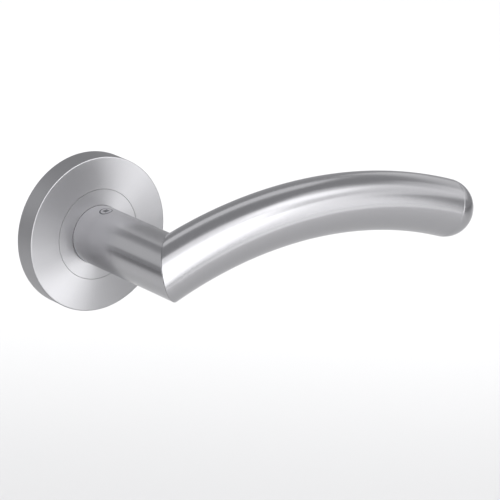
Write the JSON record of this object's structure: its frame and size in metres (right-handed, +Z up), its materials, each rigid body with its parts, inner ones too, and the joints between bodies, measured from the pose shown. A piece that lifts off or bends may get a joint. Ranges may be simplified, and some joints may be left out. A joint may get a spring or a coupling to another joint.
{
  "type": "door lever handle",
  "caption": "Mitred tube door lever with a shallow arched grip, on a round push-on rose with a return spring inside, turning a square half spindle.",
  "frame": {"origin": "where the spindle's axis meets the door's face, at the centre of the rose's back", "axes": "+Z up, +X from the neck towards the grip's free end, +Y into the door along the spindle, so the handle stands out along -Y"},
  "size_m": [0.1494, 0.089, 0.053],
  "materials": {
    "satin_steel": "fine satin brushed stainless steel",
    "plain_steel": "turned or blanked steel, unpolished",
    "zinc": "bare die-cast zinc alloy",
    "spring_steel": "oiled spring wire",
    "plated_steel": "bright zinc plated",
    "black_steel": "black oxide",
    "grey_nylon": "moulded nylon",
    "white_nylon": "moulded nylon"
  },
  "bodies": {
    "rose_base": {"mounting_plate": "zinc", "bearing_bush": "white_nylon", "thrust_washer": "white_nylon", "return_spring": "spring_steel", "fixing_sleeve_1": "plated_steel", "fixing_sleeve_2": "plated_steel", "wood_screw_1": "plated_steel", "wood_screw_2": "plated_steel", "snap_nub_1": "white_nylon", "snap_nub_2": "white_nylon", "snap_nub_3": "white_nylon"},
    "lever": {"grip_tube": "satin_steel", "end_cap": "satin_steel", "neck_tube": "satin_steel", "neck_core": "plain_steel", "driver_plate": "plain_steel", "retaining_ring": "black_steel", "grub_screw": "black_steel", "spindle": "plated_steel"},
    "cover": {"cover_rose": "satin_steel", "insert_ring": "satin_steel", "neck_liner": "grey_nylon"}
  },
  "joints": [
    {"name": "lever_turn", "type": "hinge", "parent": "rose_base", "child": "lever", "pos_m": [0, 0, 0], "axis": [0, 1, 0], "range_deg": [0, 45], "stiffness_Nm_per_rad": 0.25, "springref_deg": -63.03, "deforming": ["return_spring"]},
    {"name": "cover_slide", "type": "slide", "parent": "rose_base", "child": "cover", "axis": [0, -1, 0], "range_m": [0, 0.03]}
  ]
}
